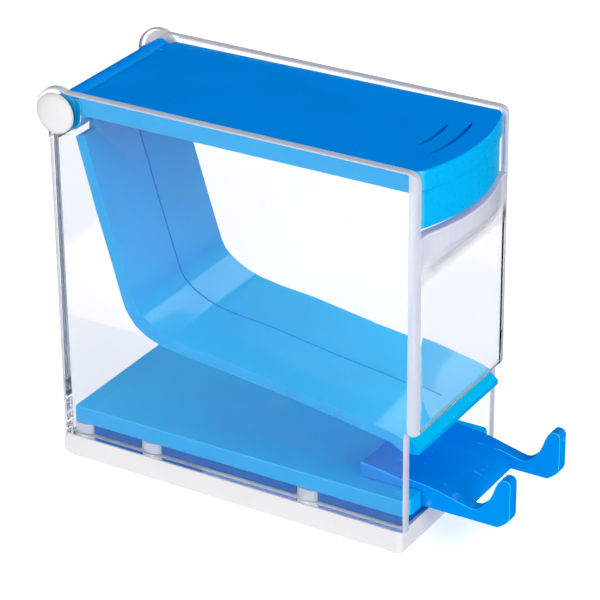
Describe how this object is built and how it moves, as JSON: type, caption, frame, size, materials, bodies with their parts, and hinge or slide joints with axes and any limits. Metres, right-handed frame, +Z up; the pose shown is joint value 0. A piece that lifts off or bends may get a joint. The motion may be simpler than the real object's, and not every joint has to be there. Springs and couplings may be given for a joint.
{
  "type": "cotton roll dispenser",
  "caption": "Free-standing push-drawer dispenser for small rolls: clear hopper, hinged blue lid, tilting ramp, sprung drawer with hooks and white base.",
  "frame": {"origin": "on the underside of the base, in the middle of the case's length and width", "axes": "+X towards the front, where the drawer comes out; +Z up; +Y to the object's left side, as seen by someone looking along +X"},
  "size_m": [0.1358, 0.0556, 0.109],
  "materials": {
    "clear_plastic": "clear moulded polystyrene, polished",
    "blue_plastic": "moulded gloss",
    "white_plastic": "fine satin",
    "steel": "zinc plated"
  },
  "bodies": {
    "case": {"clear_case": "clear_plastic", "base_plate": "white_plastic", "drawer_guide": "blue_plastic", "base_screw_1": "steel", "base_screw_2": "steel", "base_screw_3": "steel", "base_screw_4": "steel", "hinge_pin_left": "white_plastic", "hinge_pin_right": "white_plastic", "drawer_spring": "steel"},
    "lid": {"lid": "blue_plastic"},
    "ramp": {"ramp": "blue_plastic"},
    "drawer": {"drawer": "blue_plastic"}
  },
  "joints": [
    {"name": "lid_hinge", "type": "hinge", "parent": "case", "child": "lid", "pos_m": [-0.0519, 0, 0.1023], "axis": [0, -1, 0], "range_deg": [0, 100]},
    {"name": "drawer_slide", "type": "slide", "parent": "case", "child": "drawer", "axis": [1, 0, 0], "range_m": [-0.017, 0], "stiffness_N_per_m": 60, "springref_m": 0.01, "deforming": ["drawer_spring"]},
    {"name": "ramp_tilt", "type": "hinge", "parent": "case", "child": "ramp", "pos_m": [-0.0455, 0, 0.094], "axis": [0, 1, 0], "range_deg": [0, 6.1]}
  ],
  "couplings": [
    {"joint": "ramp_tilt", "follows": "drawer_slide", "rad_per_m": -6.16}
  ]
}
